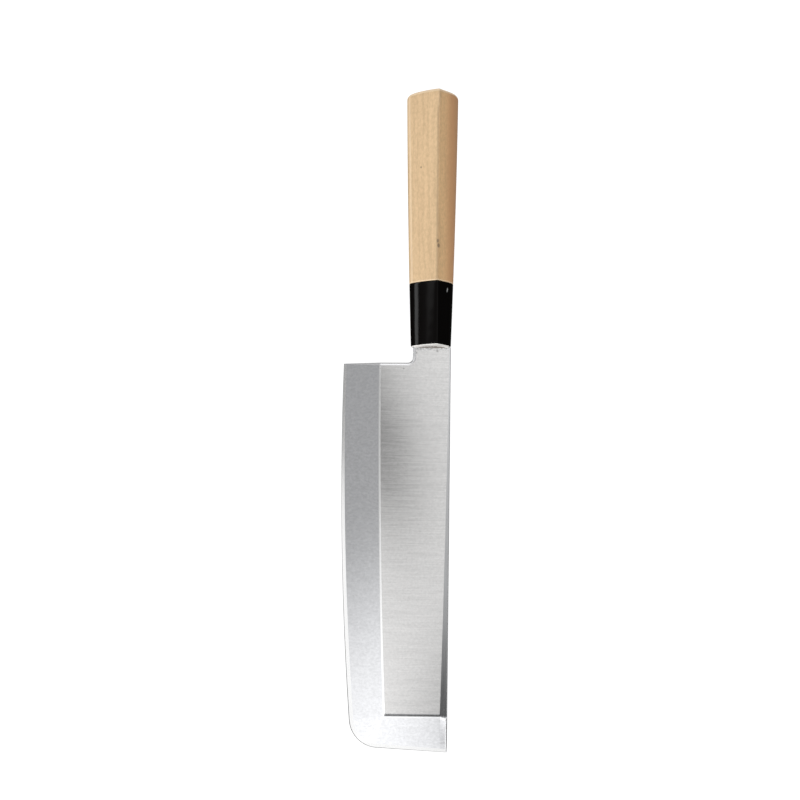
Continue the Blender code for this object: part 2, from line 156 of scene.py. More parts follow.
class HandleSettings(bpy.types.PropertyGroup):
    """Sizes of the ferrule and the grip, the same as those of their solids."""

    fit: length("Fit", "Clearance between neighbouring pieces", 0.0003)
    film: length("Bead Film", "Thickness of the resin between neck and ferrule", 0.0005)
    bead_leg: length("Bead Leg", "Reach of the bead along the neck and up the ferrule", 0.0009)
    bead_margin: length("Bead Margin", "How far the bead stops short of the neck's sides", 0.0004)
    ferrule_length: length("Ferrule Length", "From the mouth to the joint with the wood", 0.0352)
    grip_length: length("Grip Length", "From the joint to the butt", 0.1108)
    front_width: length("Front Width", "Width at the ferrule's mouth", 0.0222)
    butt_width: length("Butt Width", "Width at the butt", 0.0291)
    swell: length("Swell", "Extra width halfway along", 0.0008)
    ridge_offset: length("Ridge Offset", "From the axis to the ridge", 0.0035)
    ridge_front: length("Ridge at Front", "Height of the ridge at the mouth", 0.0090)
    ridge_butt: length("Ridge at Butt", "Height of the ridge at the butt", 0.0133)
    back_front: length("Back at Front", "Depth of the back at the mouth", 0.0089)
    back_butt: length("Back at Butt", "Depth of the back at the butt", 0.0113)
    butt_rounding: length("Butt Rounding", "Radius round the butt", 0.0036)
    mouth_rounding: length("Mouth Rounding", "Radius round the ferrule's mouth", 0.0004)
    ridge_easing: number("Ridge Easing", "Share of each flank that the eased ridge takes", 0.05)
    wall: length("Ferrule Wall", "Thickness of the ferrule's wall", 0.0022)
    end_wall: length("End Wall", "Thickness of the ferrule's closed end", 0.0035)
    resin_wall: length("Resin Wall", "Thickness of the resin round the tang", 0.0008)
    resin_plug: length("Resin Plug", "Length of the resin past the tang", 0.0030)

    wood_light: colour("Light Wood", "Wood between the grain lines", (0.65, 0.46, 0.265))
    wood_dark: colour("Grain", "Wood in the grain lines", (0.50, 0.345, 0.195))
    # A warmer tint of painted shade for the flank towards the spine
    wood_shaded_flank: colour("Flank", "Wood of the flank towards the spine", (0.71, 0.46, 0.235))
    # Darker, redder painted shade for the far side under the spine
    wood_shaded_side: colour("Red Side", "Wood of the side under the spine", (0.52, 0.27, 0.125))
    # Paler wood for the crest, the rims and a line on the edge's side
    wood_pale: colour("Worn Wood", "Wood of the sanded ridge and rims", (0.84, 0.66, 0.45))
    ferrule_colour: colour("Ferrule", "Black of the ferrule", (0.0011, 0.0007, 0.0006))
    bead_colour: colour("Bead", "Resin of the bead", (0.80, 0.78, 0.75))
    # Ragged line low on the bead: partly glue, partly painted shadow in the crease at the neck
    bead_stain_and_shadow: colour("Bead Stain", "Stain low on the bead", (0.14, 0.11, 0.09))
    bead_foot: colour("Bead Foot", "Smeared foot of the bead", (0.50, 0.49, 0.47))
    resin_colour: colour("Tang Resin", "Resin round the tang", (0.42, 0.36, 0.30))


class StageSettings(bpy.types.PropertyGroup):
    """The camera, the floor and the light."""

    camera_side: length("Camera Side", "The camera's place along the knife's X", -0.01671)
    camera_along: length("Camera Along", "The camera's place along the knife's Y", -0.17355)
    camera_height: length("Camera Height", "The camera's height over the blade's back", 0.86879)
    camera_tilt: degrees("Camera Tilt", "Lean of the view from the blade's normal", 10.0)
    camera_roll: degrees("Camera Roll", "Turn of the picture", 0.65)
    camera_lens: number("Lens", "Focal length in millimetres on a 36 mm frame", 72.0)
    floor_size: length("Floor Size", "Side of the floor", 6.0)
    floor_colour: colour("Floor", "The floor under its glow", (0.12, 0.12, 0.12))


# Places in the knife's axes and in the frame's

def to_frame(blade):
    """Matrix that carries the knife's axes to the frame's.

    The turn is the lean of the blade's back, and the tip's corner lands at the blade's low end.
    """
    turn = Matrix.Rotation(LEAN, 3, "X")
    tip = turn @ Vector((0, -blade.length, 0))
    middle = (GRIP_BOX[0].x + GRIP_BOX[1].x) / 2
    place = Vector((middle, BLADE_BOX[0].y - tip.y, BLADE_BOX[0].z - tip.z))
    return Matrix.Translation(place) @ turn.to_4x4()


def mix(start, end, share):
    """The value at share, from 0 to 1, on the way from start to end."""
    return start + (end - start) * share


def supported(steps, margin):
    """Even steps from 0 to 1 with one more close to each end, which keeps the shading crisp."""
    return np.concatenate([[0.0], np.linspace(margin, 1 - margin, steps), [1.0]])


def joined(*columns):
    """Points from their x and y, or from x, y and z, each an array or a plain number."""
    return np.stack(np.broadcast_arrays(*columns), axis=-1).astype(float)


def curve(start, pull, end, share):
    """Points at shares of the way along a quadratic curve between two ends, pulled to a third."""
    return start * (1 - share) ** 2 + pull * 2 * share * (1 - share) + end * share**2


def to_point(ring):
    """The ring with all its points at its middle, which closes a tube's end."""
    return np.repeat(ring.mean(axis=0)[None], len(ring), axis=0)


# Points of neighbouring patches that lie nearer than this become one
MERGE_DISTANCE = 8e-6
SLIVER = 1e-7
# Faces that turn by more than this meet in a crisp line
SHARP_TURN = math.radians(28.0)


class Skin:
    """Collects grids of points, with a finish for each, and sews them into one closed mesh."""

    def __init__(self):
        self.points = []
        self.quads = []
        self.finishes = []
        self.count = 0

    def add(self, grid, finish=0):
        """Adds a grid with its rows along the first axis and its points' places in the last."""
        rows, columns = grid.shape[:2]
        index = np.arange(rows * columns).reshape(rows, columns) + self.count
        quads = np.stack([index[:-1, :-1], index[1:, :-1], index[1:, 1:], index[:-1, 1:]], axis=-1)
        self.points.append(grid.reshape(-1, 3))
        self.quads.append(quads.reshape(-1, 4))
        self.finishes.append(np.full((rows - 1) * (columns - 1), finish))
        self.count += rows * columns

    def tube(self, rings, finish=0):
        """Adds a stack of closed rings, each without its last point repeated."""
        self.add(np.concatenate([rings, rings[:, :1]], axis=1), finish)

    def piece(self, name, looks, place):
        """Makes the sewn mesh an object whose place is in its vertices."""
        points = np.concatenate(self.points)
        points = points @ np.array(place.to_3x3()).T + np.array(place.translation)
        mesh = bpy.data.meshes.new(name)
        mesh.from_pydata(points.tolist(), [], np.concatenate(self.quads).tolist())
        mesh.polygons.foreach_set("material_index", np.concatenate(self.finishes).astype(np.int32))
        for look in looks:
            mesh.materials.append(look)
        shape = bmesh.new()
        shape.from_mesh(mesh)
        bmesh.ops.remove_doubles(shape, verts=shape.verts, dist=MERGE_DISTANCE)
        bmesh.ops.dissolve_degenerate(shape, dist=SLIVER, edges=shape.edges)
        bmesh.ops.recalc_face_normals(shape, faces=shape.faces)
        for edge in shape.edges:
            faces = edge.link_faces
            split = len({face.material_index for face in faces}) > 1
            edge.smooth = not split and edge.calc_face_angle(0.0) < SHARP_TURN
        for face in shape.faces:
            face.smooth = True
        shape.to_mesh(mesh)
        shape.free()
        item = bpy.data.objects.new(name, mesh)
        bpy.context.scene.collection.objects.link(item)
        return item


# The blade's lines, as formulas

def spine_x(b, y):
    """The spine, straight, which comes nearer the axis towards the tip."""
    return b.spine_offset + b.spine_taper * np.minimum(y, 0.0) / b.length


def edge_x(b, y):
    """The cutting edge, an arc of a large circle that is widest a little ahead of the heel."""
    return -b.edge_depth + b.edge_radius - np.sqrt(b.edge_radius**2 - (y + b.widest_at) ** 2)


def bevel_x(b, y):
    """The ridge between flat and bevel, an arc of a larger circle that is widest at the heel."""
    depth = b.edge_depth - b.bevel_width
    return -depth + b.bevel_radius - np.sqrt(b.bevel_radius**2 - y**2)


def tip_line(b):
    """Where the flat ends and the tip's bevel begins."""
    return -b.length + b.tip_bevel


def flat_z(b, y):
    """Height of the flat, which thins evenly from the neck to the tip's bevel."""
    return mix(b.heel_thickness, b.tip_thickness, y / tip_line(b))


def relief_x(b, y):
    """Inner line of the relief, which widens from the neck to the tip's bevel in a slight bow."""
    share = np.maximum(y / tip_line(b), 0.0)
    width = mix(b.relief_heel, b.relief_tip, share) - b.relief_bow * 4 * share * (1 - share)
    return spine_x(b, y) - width


def relief_z(b, x, y):
    """Height of the relief, a plane that falls from its inner line towards the spine."""
    return flat_z(b, y) - np.maximum(x - relief_x(b, y), 0.0) * math.tan(b.relief_angle)


def heel_y(b, x):
    """The heel, straight and raked from the choil to the edge."""
    start = -b.neck_offset - b.choil_radius
    return -b.heel_rake * (start - x) / (start + b.edge_depth)


def end_y(b, x):
    """The straight end, from the corner out to the spine."""
    return -b.length + (spine_x(b, -b.length) - x) * math.tan(b.end_slope)


# The most that each rounding takes, as a share of the steel's thickness where it runs
EASED_SHARE, HEEL_SHARE, FALL_SHARE, TIP_SHARE = 0.3, 0.43, 0.45, 1.5


def heel_reach(b, z):
    """Reach of the heel's rounding over the face where the steel is z thick."""
    return np.minimum(b.heel_easing, HEEL_SHARE * z)


def corner_arc(b, steps):
    """The rounded corner, a circle tangent to the edge's circle and to the straight end."""
    along = np.array([-math.cos(b.end_slope), math.sin(b.end_slope)])
    inward = np.array([math.sin(b.end_slope), math.cos(b.end_slope)])
    hub = np.array([b.edge_radius - b.edge_depth, -b.widest_at])
    start = np.array([spine_x(b, -b.length), -b.length]) + inward * b.corner_radius
    offset = start - hub
    lead = offset @ along
    reach = b.edge_radius - b.corner_radius
    centre = start + along * (-lead + math.sqrt(lead**2 - offset @ offset + reach**2))
    first = math.atan2(*(centre - hub)[::-1]) % math.tau
    last = math.atan2(*(-inward)[::-1]) % math.tau
    angles = np.linspace(first, last, steps + 1)
    return centre + b.corner_radius * joined(np.cos(angles), np.sin(angles))


def tang_ring(b, y, directions, grow=0.0):
    """The tang's section at y in the given directions: a squarish oval of eighth powers."""
    share = (y - b.neck_length) / b.tang_length
    half_width = mix(b.tang_width_neck, b.tang_width_end, share) / 2 + grow
    half_height = mix(b.tang_thick_neck, b.tang_thick_end, share) / 2 + grow
    across, up = np.cos(directions), np.sin(directions)
    reach = (np.abs(across / half_width) ** 8 + np.abs(up / half_height) ** 8) ** -0.125
    return joined(reach * across, y, b.heel_thickness / 2 + reach * up)


FLAT, BEVEL, POLISH, RIDGE, LINE, RELIEF, SIDE, RIM, HOLLOW, TANG = range(10)

# How finely the blade's patches are divided, lengthwise and across
ROWS_ALONG, ROWS_CORNER, ROWS_CHOIL, ROWS_NECK = 150, 28, 13, 6
COLUMNS_BESIDE, COLUMNS_BEFORE, COLUMNS_BEVEL, COLUMNS_RIDGE, COLUMNS_BACK = 10, 18, 9, 10, 25
RINGS_HOLLOW, RINGS_TANG = 24, 12


def side_grid(b, outline, outward, z, reach):
    """The profile of a side carried along an outline, with reach as the upper curve's width.

    The profile is a quarter oval at the top and a quarter circle at the bottom. Where the side
    faces the edge, as on the neck, the oval gives way to a chamfer with soft borders.
    """
    quarter = np.radians(np.linspace(0, 90, 8))
    oval = np.stack([1 - np.sin(quarter), 1 - np.cos(quarter)])
    chamfer = np.array([
        [1.00, 0.94, 0.72, 0.50, 0.28, 0.12, 0.03, 0.00],
        [0.00, 0.03, 0.22, 0.415, 0.61, 0.745, 0.88, 1.00],
    ])
    z, reach = z[:, None], reach[:, None]
    low = np.minimum(b.easing, EASED_SHARE * z)
    fall = FALL_SHARE * np.minimum(np.maximum(reach, b.easing * 2), z)
    across, down = mix(oval[:, None], chamfer[:, None], np.minimum(outward[:, :1], 0.0) ** 2)
    inset = np.concatenate([reach * across, low * oval[0, ::-1]], axis=1)
    height = np.concatenate([z - fall * down, low * oval[1, ::-1]], axis=1)
    place = outline[:, None] - outward[:, None] * inset[..., None]
    return joined(place[..., 0], place[..., 1], height)


def add_back(b, skin, outline):
    """Adds the back's rim and hollow, as rings about the hollow's middle drawn in from the outline.

    The hollow's border is where the square of the way across and the sixth power of the way
    along add up to 1, and the hollow's height is what they lack of 1.
    """
    near, far = -b.rim_heel, -b.length + b.rim_tip

    def across_of(y):
        low, high = edge_x(b, y) + b.rim_edge, spine_x(b, y) - b.rim_spine
        return (low + high) / 2, (high - low) / 2

    lengthwise = (outline[:, 1] - (near + far) / 2) / ((far - near) / 2)
    middle, width = across_of(outline[:, 1])
    crosswise = (outline[:, 0] - middle) / width
    low, high = np.zeros(len(outline)), np.ones(len(outline))
    for _ in range(40):
        guess = (low + high) / 2
        inside = (guess * crosswise) ** 2 + np.abs(guess * lengthwise) ** 6 < 1
        low, high = np.where(inside, guess, low), np.where(inside, high, guess)
    rim_scale = mix(low, 1.0, np.array([1.0, 0.5, 0.04, 0.0])[:, None])
    rings = np.concatenate([[1.0, 0.996], np.linspace(0.97, 0.0, RINGS_HOLLOW)])[:, None] * low

    def back_grid(scale):
        y = (near + far) / 2 + scale * lengthwise * (far - near) / 2
        middle, width = across_of(y)
        x = middle + scale * crosswise * width
        rise = 1 - (scale * crosswise) ** 2 - np.abs(scale * lengthwise) ** 6
        return joined(x, y, b.hollow_depth * np.maximum(rise, 0.0))

    rim = back_grid(rim_scale)
    rim[0] = outline
    rim[..., 2] = 0.0
    skin.tube(rim, RIM)
    hollow = back_grid(rings)
    hollow[0, :, 2] = 0.0
    skin.tube(hollow, HOLLOW)


def add_tang(b, skin, loop):
    """Adds the shoulder from a loop round the neck's end, and the tang as closed rings."""
    directions = np.arctan2(loop[:, 2] - b.heel_thickness / 2, loop[:, 0])
    shares = [0.0, *np.linspace(0.004, 0.996, RINGS_TANG), 1.0]
    tang = [tang_ring(b, b.neck_length + b.tang_length * share, directions) for share in shares]
    skin.tube(np.stack([loop, tang[0]]), TANG)
    skin.tube(np.stack([*tang, to_point(tang[-1])]), TANG)


def blade_skin(b):
    """The whole blade as patches that share their borders.

    The bevels are ruled from the edge's line to the ridge's line, round the corner as a fan and
    across the end. The flat, the neck and the relief are ruled from side to side. The sides run
    round the heel, the choil and the neck and along the spine.
    """
    skin = Skin()
    half, top, line = b.ridge_half, b.easing, tip_line(b)
    begin, stop = -b.heel_easing, line + b.line_half
    along = supported(ROWS_ALONG, 0.0008)
    choil = -b.neck_offset - b.choil_radius

    # Flat, from the ridge to the relief's inner line
    left, right = bevel_x(b, begin) + half, relief_x(b, begin)
    split = (choil - left) / (right - left)
    beside_neck = supported(COLUMNS_BESIDE, 0.01)[:-1] * split
    across = np.concatenate([beside_neck, mix(split, 1, supported(COLUMNS_BEFORE, 0.006))])
    heel_columns = across <= split + 1e-9
    start_x = mix(left, right, across)
    start_y = np.where(heel_columns, heel_y(b, start_x), 0.0) + begin
    y = mix(start_y, stop, along[:, None])
    x = mix(bevel_x(b, y) + half, relief_x(b, y), across)
    flat = joined(x, y, flat_z(b, y))
    skin.add(flat, FLAT)

    # Neck, from the choil's arc and the neck's side to the relief
    turn = np.radians(np.linspace(-90, 0, ROWS_CHOIL))
    neck_rows = np.linspace(b.choil_radius, b.neck_length, ROWS_NECK + 1)[1:]
    bend_radius = b.choil_radius - begin
    y = np.concatenate([b.choil_radius + bend_radius * np.sin(turn), neck_rows])
    neck_side = np.full(ROWS_NECK, -begin - b.neck_offset)
    x_left = np.concatenate([choil + bend_radius * np.cos(turn), neck_side])
    neck_share = (across[~heel_columns | (across > split - 1e-9)] - split) / (1 - split)
    x = mix(x_left[:, None], relief_x(b, y)[:, None], neck_share)
    neck = joined(x, y[:, None], flat_z(b, y)[:, None])
    skin.add(neck, FLAT)

    # Relief, along the neck and the flat
    lanes = np.array([0.0, 0.06, 0.5, 0.94, 1.0])
    tip = np.array([spine_x(b, -b.length), -b.length])
    drop = (spine_x(b, line) - relief_x(b, line)) * math.tan(b.relief_angle)
    tip_high = b.micro_tip * math.tan(b.micro_angle)
    run_out = mix(line, -b.length + b.micro_tip, 0.6 * drop / (b.tip_thickness - tip_high))
    y = mix(begin, mix(stop, run_out + b.line_half, lanes), along[:, None])
    outer = spine_x(b, y) - top
    x = mix(flat[:, -1, 0][:, None], outer, lanes)
    relief = joined(x, y, relief_z(b, x, y))
    relief[:, 0] = flat[:, -1]
    skin.add(relief, RELIEF)
    y = neck[:, -1, 1][:, None]
    x = mix(neck[:, -1, 0][:, None], spine_x(b, y) - top, lanes)
    neck_relief = joined(x, y, relief_z(b, x, y))
    skin.add(neck_relief, RELIEF)

    # Bevels, from the edge's line to the ridge's
    arc = corner_arc(b, ROWS_CORNER)
    heel_edge = heel_y(b, edge_x(b, 0.0))
    y_edge = mix(heel_edge, arc[0, 1], along)
    edge_long = joined(edge_x(b, y_edge), y_edge)
    y_ridge = mix(heel_y(b, bevel_x(b, 0.0)), line, along)
    ridge_long = joined(bevel_x(b, y_ridge), y_ridge)
    corner = ridge_long[-1]
    x_end = mix(arc[-1, 0], relief_x(b, line), across[1:])
    edge_end = joined(x_end, end_y(b, x_end))
    x_line = mix(corner[0], relief_x(b, line), across[1:])
    ridge_end = joined(x_line, line)
    edge_out = mix(edge_end[-1], tip, lanes[1:, None])
    ridge_out = mix(ridge_end[-1], np.array([spine_x(b, run_out), run_out]), lanes[1:, None])
    edge = np.concatenate([edge_long, arc[1:], edge_end, edge_out])
    ridge_corner = np.repeat(corner[None], len(arc) - 1, axis=0)
    ridge = np.concatenate([ridge_long, ridge_corner, ridge_end, ridge_out])
    ridge_z = relief_z(b, ridge[:, 0], ridge[:, 1])
    shift = np.zeros(len(edge))
    shift[-len(lanes) + 1:] = lanes[1:]
    reach = np.linalg.norm(ridge - edge, axis=1)[:, None]
    toward = (ridge - edge) / reach
    grown = mix(b.micro_heel, b.micro_corner, along)
    passed = np.cumsum(np.linalg.norm(np.diff(edge[len(along) - 1:], axis=0), axis=1))
    shrunk = mix(b.micro_corner, b.micro_tip, passed / passed[-1])
    micro = np.concatenate([grown, shrunk])[:, None]
    thread = b.thread * (micro / b.micro_corner) ** 3
    polish = np.hstack([thread * np.array([0.0, 0.5, 1.0, 1.2]), micro * np.array([0.5, 0.96, 1.0])])
    corner_rows = [len(along) - 1, len(along) + len(arc) - 2]
    widening = np.interp(np.arange(len(edge)), corner_rows, [half, b.line_half])
    body = mix(micro, reach - widening[:, None], supported(COLUMNS_BEVEL, 0.006))
    lift = thread * (math.tan(b.thread_angle) - math.tan(b.micro_angle))
    micro_z = micro * math.tan(b.micro_angle) + lift
    near_heel = np.zeros((len(edge), 1))
    heel_fade = 0.006
    near_heel[:len(along), 0] = np.maximum(1 - along * b.length / heel_fade, 0.0)

    def bevel_grid(distance, z):
        tip_shift = shift[:, None] * np.minimum(b.tip_easing, TIP_SHARE * z)
        x = edge[:, :1] + toward[:, :1] * distance - tip_shift
        y = edge[:, 1:] + toward[:, 1:] * distance - near_heel * heel_reach(b, z)
        return joined(x, y, z)

    polish_z = polish * math.tan(b.micro_angle) + lift * np.minimum(polish / thread, 1.0)
    polish_grid = bevel_grid(polish, polish_z)
    bevel = bevel_grid(body, mix(micro_z, ridge_z[:, None], (body - micro) / (reach - micro)))
    skin.add(polish_grid, POLISH)
    skin.add(bevel, BEVEL)

    # Ridge, a strip that rounds the change of plane with a curve pulled to the sharp line
    flat_corner = np.repeat(flat[-1:, 0], len(arc) - 1, axis=0)
    landing = np.concatenate([flat[:, 0], flat_corner, flat[-1, 1:], relief[-1, 1:]])
    pull = bevel_grid(reach, ridge_z[:, None])
    share = np.linspace(0, 1, COLUMNS_RIDGE)[None, :, None]
    strip = curve(bevel[:, -1:], pull, landing[:, None], share)
    long_rows = len(along) + len(arc) // 2
    skin.add(strip[:long_rows], RIDGE)
    skin.add(strip[long_rows - 1:], LINE)

    # Sides, round the heel, the choil and the neck, and along the spine
    first = np.concatenate([polish_grid[0], bevel[0, 1:], strip[0, 1:], flat[0, 1:heel_columns.sum()]])
    heel_line = joined(first[:, 0], first[:, 1] + heel_reach(b, first[:, 2]))
    bend = joined(choil + b.choil_radius * np.cos(turn), b.choil_radius * (1 + np.sin(turn)))
    neck_line = joined(-b.neck_offset, neck_rows)
    out = np.concatenate([
        np.tile([0.0, 1.0], (len(first), 1)),
        -joined(np.cos(turn), np.sin(turn))[1:],
        np.tile([-1.0, 0.0], (ROWS_NECK, 1)),
    ])
    z_heel = np.concatenate([first[:, 2], neck[1:, 0, 2]])
    heel_outline = np.concatenate([heel_line, bend[1:], neck_line])
    heel_side = side_grid(b, heel_outline, out, z_heel, heel_reach(b, z_heel))
    skin.add(heel_side, SIDE)
    tip_run = [strip[-1, ::-1][1:], bevel[-1, ::-1][1:], polish_grid[-1, ::-1][1:]]
    run = np.concatenate([neck_relief[::-1, -1], relief[1:, -1], *tip_run])
    spine_line = joined(spine_x(b, run[:, 1]), run[:, 1])
    reach_in = spine_line[:, 0] - run[:, 0]
    spine_out = np.tile([1.0, 0.0], (len(run), 1))
    spine_side = side_grid(b, spine_line, spine_out, run[:, 2], reach_in)
    skin.add(spine_side, SIDE)

    # Back of the neck and of the blade
    neck_count = len(neck)
    back_left = heel_side[-neck_count:, -1]
    back_right = spine_side[:neck_count, -1][::-1]
    spread = np.linspace(0, 1, COLUMNS_BACK)[None, :, None]
    neck_back = mix(back_left[:, None], back_right[:, None], spread)
    skin.add(neck_back, RIM)
    outline = np.concatenate([
        joined(edge[:, 0], edge[:, 1], 0.0),
        spine_side[neck_count - 1:, -1][::-1][1:],
        neck_back[0, ::-1][1:],
        heel_side[:-neck_count, -1][::-1][:-1],
    ])
    add_back(b, skin, outline)
    add_tang(b, skin, np.concatenate([
        neck[-1], neck_relief[-1, 1:], spine_side[0, 1:], neck_back[-1, ::-1][1:], heel_side[-1, ::-1][1:-1]
    ]))
    return skin


# The handle's section, as formulas

# How many points the section has on each flank, over the eased ridge and under the handle
POINTS_FLANK, POINTS_RIDGE, POINTS_UNDER = 30, 5, 48
# How many rings each part of the handle's pieces has
RINGS_BUTT, RINGS_GRIP, RINGS_TENON, RINGS_CHANNEL = 12, 110, 8, 10
RINGS_FERRULE, RINGS_SOCKET, RINGS_SLOT = 40, 8, 4
RINGS_FACE, RINGS_FILLET = 4, 9


def stations(b, h):
    """Lengthwise places that the handle's pieces share, in the knife's axes."""
    mouth = b.neck_length + h.fit + h.film + h.fit
    joint = mouth + h.ferrule_length
    return mouth, joint, joint + h.grip_length


def cubic(points, t):
    """Points of a cubic curve through its two ends, pulled to the two points between."""
    a, p, q, d = (np.array(point)[:, None] for point in points)
    return a * (1 - t) ** 3 + p * 3 * t * (1 - t) ** 2 + q * 3 * t**2 * (1 - t) + d * t**3


def handle_ring(b, h, y, inset=0.0):
    """The chestnut-shaped section at y, taken in by inset.

    The back is half an ellipse. Two cubic flanks rise from its sides to the crest, and a
    quadratic curve, pulled to the crest, eases the ridge between them.
    """
    mouth, _, butt = stations(b, h)
    share = (y - mouth) / (butt - mouth)
    swell = h.swell * 4 * share * (1 - share)
    half = (mix(h.front_width, h.butt_width, share) + swell) / 2 - inset
    ridge = mix(h.ridge_front, h.ridge_butt, share) - inset
    depth = mix(h.back_front, h.back_butt, share) - inset
    crest = (h.ridge_offset, ridge)
    t = np.linspace(0, 1 - h.ridge_easing, POINTS_FLANK)
    spine_flank = cubic([(half, 0), (half, 0.40 * ridge), (0.35 * half, 0.84 * ridge), crest], t)
    edge_flank = cubic([(-half, 0), (-half, 0.20 * ridge), (-0.45 * half, 0.70 * ridge), crest], t)
    pull = np.array(crest)[:, None]
    share = np.linspace(0, 1, POINTS_RIDGE + 2)[1:-1]
    bend = curve(spine_flank[:, -1:], pull, edge_flank[:, -1:], share)
    angle = np.linspace(math.pi, math.tau, POINTS_UNDER + 2)[1:-1]
    back = np.stack([half * np.cos(angle), depth * np.sin(angle)])
    outline = np.concatenate([spine_flank, bend, edge_flank[:, ::-1], back], axis=1)
    return joined(outline[0], y, b.heel_thickness / 2 + outline[1])


def rounded_rings(b, h, y, radius, outward, angles, inset=0.0):
    """Rings that turn a quarter circle in at an end at y, where outward is 1 towards the butt."""
    return [
        handle_ring(b, h, y - outward * radius * (1 - math.sin(a)), inset + radius * (1 - math.cos(a)))
        for a in angles
    ]


# Angles of the rings that round the butt and the mouth, the ferrule's rear rim and the bead
END_TURN = np.linspace(0, math.pi / 2, 9)[1:]
RIM_TURN = (0.5, 1.0, math.pi / 2)
BEAD_TURN = np.linspace(0, math.pi / 2, 5)


def faced(outer, inner, shares):
    """Rings between two rings, at the given shares of the way in."""
    return [mix(outer, inner, share) for share in shares]


def ring_directions(b, ring):
    """Directions of a ring's points about the handle's axis."""
    return np.arctan2(ring[:, 2] - b.heel_thickness / 2, ring[:, 0])


WOOD, END_GRAIN = range(2)


def passage(h):
    """How much wider than the tang its passage is: the resin and a clearance on each side."""
    return h.fit + h.resin_wall + h.fit


def grip_skin(b, h):
    """The grip, as closed rings from the butt's middle over the body to the tang's channel."""
    skin = Skin()
    mouth, joint, butt = stations(b, h)
    chamfer, tenon_chamfer = 0.00015, 0.0004
    rounding = rounded_rings(b, h, butt, h.butt_rounding, 1, END_TURN)
    cap = rounding[-1]
    butt_rings = faced(to_point(cap), cap, np.linspace(0, 0.98, RINGS_BUTT))
    skin.tube(np.stack([*butt_rings, cap]), END_GRAIN)
    places = mix(joint + chamfer, butt - h.butt_rounding, np.linspace(0, 1, RINGS_GRIP))
    body = [handle_ring(b, h, joint, chamfer), *(handle_ring(b, h, y) for y in places)]
    skin.tube(np.stack([*body, *rounding]), WOOD)
    sunk = h.wall + h.fit
    tenon_end = mouth + h.end_wall + h.fit
    places = np.linspace(joint, tenon_end + tenon_chamfer, RINGS_TENON)
    tenon = [handle_ring(b, h, y, sunk) for y in places]
    tenon.append(handle_ring(b, h, tenon_end, sunk + tenon_chamfer))
    skin.tube(np.stack([body[0], *tenon]), WOOD)
    directions = ring_directions(b, tenon[-1])
    stop = b.neck_length + b.tang_length + h.resin_plug
    places = np.linspace(tenon_end, stop, RINGS_CHANNEL)
    channel = [tang_ring(b, y, directions, passage(h)) for y in places]
    skin.tube(np.stack([tenon[-1], *channel, to_point(channel[-1])]), END_GRAIN)
    return skin


def ferrule_skin(b, h):
    """The ferrule, as closed rings over its outside, round the joint's rim and back inside."""
    skin = Skin()
    mouth, joint, _ = stations(b, h)
    lip, end = mouth - h.fit, joint - h.fit
    rim_rounding = 0.0002
    front = rounded_rings(b, h, lip, h.mouth_rounding, -1, END_TURN)[::-1]
    places = np.linspace(lip + h.mouth_rounding, end - rim_rounding, RINGS_FERRULE)
    outside = [handle_ring(b, h, y) for y in places]
    rim = rounded_rings(b, h, end, rim_rounding, 1, RIM_TURN)
    floor = mouth + h.end_wall
    socket = [handle_ring(b, h, y, h.wall) for y in np.linspace(end, floor, RINGS_SOCKET)]
    directions = ring_directions(b, front[0])
    places = np.linspace(floor, lip, RINGS_SLOT)
    slot = [tang_ring(b, y, directions, passage(h)) for y in places]
    skin.tube(np.stack([*front, *outside, *rim, *socket, *slot, front[0]]))
    return skin


def dense(ring):
    """The ring with three more points in each gap."""
    for _ in range(2):
        ring = np.stack([ring, (ring + np.roll(ring, -1, axis=0)) / 2], axis=1).reshape(-1, 3)
    return ring


def bead_skin(b, h):
    """The resin over the ferrule's end face with its fillet round the neck, as closed rings.

    Each ring has its points in the directions of the face's outline about the handle's axis.
    The fillet is a quarter of an oval hollowed between face and neck. Its reach along the neck
    wavers by a sum of sines and fades out at the neck's sides. The hole begins a step inside the
    fillet, so that the two don't touch where the fillet fades out.
    """
    skin = Skin()
    mouth = stations(b, h)[0]
    # Gap to the ferrule's face, rounding of the border, clearance to the neck, step into the hole
    seat, turn, clear, step = 0.00002, 0.00022, 0.00004, 0.00002
    # How far inside the face's outline the fillet stays
    margin = 0.0001
    back, front = mouth - h.fit - seat, mouth - h.fit - h.film
    rounding = rounded_rings(b, h, front, turn, -1, BEAD_TURN, h.mouth_rounding)
    border = [dense(ring) for ring in (handle_ring(b, h, back, h.mouth_rounding), *rounding)]
    face = border[-1]
    directions = ring_directions(b, face)
    across, up = np.abs(np.cos(directions)) + 1e-9, np.abs(np.sin(directions)) + 1e-9
    limit = np.hypot(face[:, 0], face[:, 2] - b.heel_thickness / 2) - margin

    def round_neck(grow, y, ease=0.0):
        side = np.where(face[:, 0] > 0, b.spine_offset, b.neck_offset) + grow
        reach = np.minimum(np.minimum(side / across, (b.heel_thickness / 2 + grow) / up), limit) - ease
        return joined(reach * np.cos(directions), y, b.heel_thickness / 2 + reach * np.sin(directions))

    x = round_neck(clear, front)[:, 0]
    low, high = -b.neck_offset + h.bead_margin, b.spine_offset - h.bead_margin
    fade = np.sqrt(np.maximum(1 - np.abs((2 * x - low - high) / (high - low)) ** 6, 0.0))
    waver = 0.94 + 0.08 * np.sin(x * 1900) + 0.06 * np.sin(x * 4300 + 1.3) + 0.04 * np.sin(x * 9100)
    leg = h.bead_leg * fade * waver
    fillet = [
        round_neck(clear + h.bead_leg * fade * (1 - math.sin(a)), front - leg * (1 - math.cos(a)))
        for a in np.linspace(0, math.pi / 2, RINGS_FILLET)
    ]
    across_face = faced(face, fillet[0], np.linspace(0, 1, RINGS_FACE + 2)[1:-1])
    hole = [round_neck(clear, front, step), *(tang_ring(b, y, directions, h.fit) for y in (front, back))]
    skin.tube(np.stack([*border, *across_face, *fillet, *hole, border[0]]))
    return skin


# Shader maths written as expressions

